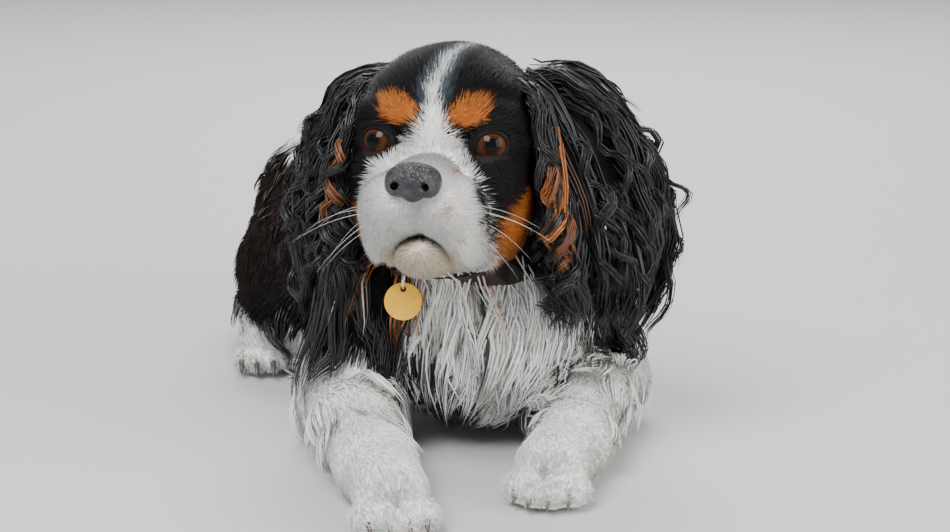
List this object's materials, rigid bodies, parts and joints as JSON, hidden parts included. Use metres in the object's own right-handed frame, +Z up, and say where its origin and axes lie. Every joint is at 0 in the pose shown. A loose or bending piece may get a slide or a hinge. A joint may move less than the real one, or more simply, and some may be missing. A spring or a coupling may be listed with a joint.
{
  "type": "cavalier king charles spaniel, lying",
  "caption": "Life-size still model of a tricolour spaniel lying on its chest, forelegs out and head turned to its right, with a plain collar and tag.",
  "frame": {"origin": "middle of the flat under the breastbone, where the model rests on the floor", "axes": "+Z up, the dog faces -Y, +X is the dog's own left"},
  "size_m": [0.2712, 0.6142, 0.2303],
  "materials": {
    "coat_black": "black coat: glossy, soft, straight to lightly waved hair",
    "coat_white": "white coat: soft, silky hair, a little warm at its roots",
    "nose_leather": "pebbled, slightly moist nose leather",
    "eye_gloss": "dark brown iris and black pupil under a clear wet cornea",
    "tag_metal": "plain yellow tag, satin with fine scratches",
    "ring_steel": "bright wire",
    "collar_leather": "dark leather, matt"
  },
  "bodies": {
    "root": {"head": "coat_black", "nose": "nose_leather", "eye_left": "eye_gloss", "eye_right": "eye_gloss", "ear_left": "coat_black", "ear_right": "coat_black", "neck": "coat_black", "collar": "collar_leather", "tag_ring": "ring_steel", "tag": "tag_metal", "torso": "coat_black", "tail": "coat_black", "foreleg_left": "coat_white", "foreleg_right": "coat_white", "forepaw_left": "coat_white", "forepaw_right": "coat_white", "hindleg_left": "coat_black", "hindleg_right": "coat_black", "hindpaw_left": "coat_white", "hindpaw_right": "coat_white"}
  },
  "joints": []
}
